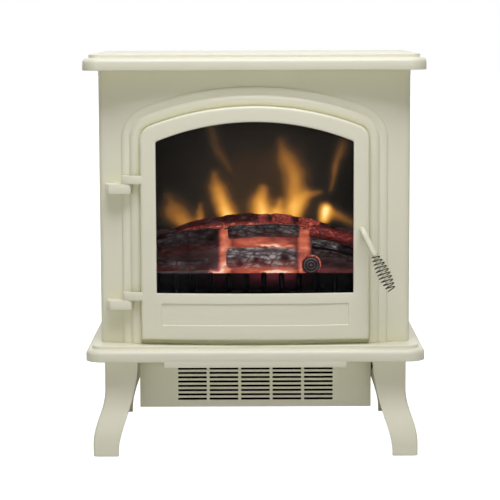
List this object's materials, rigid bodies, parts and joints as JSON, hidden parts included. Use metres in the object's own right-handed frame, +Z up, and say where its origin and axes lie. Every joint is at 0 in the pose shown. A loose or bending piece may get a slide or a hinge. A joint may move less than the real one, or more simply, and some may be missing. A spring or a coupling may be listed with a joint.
{
  "type": "electric fireplace",
  "caption": "Compact electric stove on flared legs: bowed arched front, hinged glazed door with a coil handle, glowing log set, fan heater under the base.",
  "frame": {"origin": "on the floor under the middle of the whole stove, handle included", "axes": "+Z up, the door faces -Y, +X to the right as seen from the front"},
  "size_m": [0.504, 0.3785, 0.5975],
  "materials": {
    "cream_paint": "smooth satin cream paint",
    "black_paint": "matt black heat-resistant paint",
    "steel": "plain zinc-plated steel",
    "dark_steel": "dark bright-drawn spring steel",
    "black_plastic": "fine-textured black plastic",
    "log_resin": "moulded log shapes painted as charred bark, glowing in the cracks",
    "ember_resin": "translucent moulded embers lit from below",
    "clear_glass": "clear tempered glass",
    "smoked_screen": "smoked acrylic screen showing the flame picture",
    "mirror_foil": "polished reflector",
    "lamp_lens": "amber frosted lamp"
  },
  "bodies": {
    "cabinet": {"base_plate": "cream_paint", "top_plate": "cream_paint", "front_surround": "cream_paint", "right_side_panel": "cream_paint", "left_side_panel": "cream_paint", "rear_panel": "cream_paint", "rear_screw_lower_left": "steel", "rear_screw_upper_left": "steel", "rear_screw_lower_right": "steel", "rear_screw_upper_right": "steel", "cord_gland": "black_plastic", "leg_front_right": "cream_paint", "leg_front_left": "cream_paint", "leg_rear_right": "cream_paint", "leg_rear_left": "cream_paint", "outlet_grille": "cream_paint", "heater_housing": "black_paint", "blower_scroll": "steel", "blower_motor": "steel", "heating_element": "steel", "switch_plate": "black_plastic", "firebox_shell": "black_paint", "firebox_cradle": "steel", "flame_screen": "smoked_screen", "ember_bed": "ember_resin", "fret": "black_paint", "log_back": "log_resin", "log_left": "log_resin", "log_lower_left": "log_resin", "log_centre": "log_resin", "log_front": "log_resin", "log_right_front": "log_resin", "log_right_back": "log_resin", "log_end": "log_resin", "rotor_bearing": "steel", "rotor_motor": "steel", "reflector_panel": "mirror_foil", "lamp_board": "black_plastic", "lamp_left": "lamp_lens", "lamp_right": "lamp_lens", "door_magnet": "black_plastic", "hinge_bracket_lower": "cream_paint", "hinge_pin_lower": "steel", "hinge_bracket_upper": "cream_paint", "hinge_pin_upper": "steel"},
    "door": {"door_frame": "cream_paint", "door_glass": "clear_glass", "glass_retainer": "black_paint", "magnet_striker": "steel", "hinge_leaf_lower": "cream_paint", "hinge_leaf_upper": "cream_paint"},
    "handle": {"handle_rod": "cream_paint", "handle_spring": "dark_steel", "handle_nut": "steel"},
    "blower": {"blower_wheel": "dark_steel"},
    "flame_spindle": {"flame_rotor": "mirror_foil"},
    "rocker_1": {"rocker_1": "black_plastic"},
    "rocker_2": {"rocker_2": "black_plastic"},
    "rocker_3": {"rocker_3": "black_plastic"}
  },
  "joints": [
    {"name": "door_hinge", "type": "hinge", "parent": "cabinet", "child": "door", "pos_m": [-0.1905, -0.12778, 0.32], "axis": [0, 0, -1], "range_deg": [0, 110]},
    {"name": "handle_turn", "type": "hinge", "parent": "door", "child": "handle", "pos_m": [0.158, -0.14578, 0.339], "axis": [0, -1, 0], "range_deg": [0, 55]},
    {"name": "blower_spin", "type": "hinge", "parent": "cabinet", "child": "blower", "pos_m": [0, -0.01578, 0.106], "axis": [1, 0, 0], "continuous": true},
    {"name": "flame_spindle_spin", "type": "hinge", "parent": "cabinet", "child": "flame_spindle", "pos_m": [0, 0.04922, 0.3], "axis": [1, 0, 0], "continuous": true},
    {"name": "rocker_1_press", "type": "hinge", "parent": "cabinet", "child": "rocker_1", "pos_m": [0.1758, -0.03678, 0.11], "axis": [0, -1, 0], "range_deg": [0, 13.75]},
    {"name": "rocker_2_press", "type": "hinge", "parent": "cabinet", "child": "rocker_2", "pos_m": [0.1758, -0.02078, 0.11], "axis": [0, -1, 0], "range_deg": [0, 13.75]},
    {"name": "rocker_3_press", "type": "hinge", "parent": "cabinet", "child": "rocker_3", "pos_m": [0.1758, -0.00478, 0.11], "axis": [0, -1, 0], "range_deg": [0, 13.75]}
  ]
}
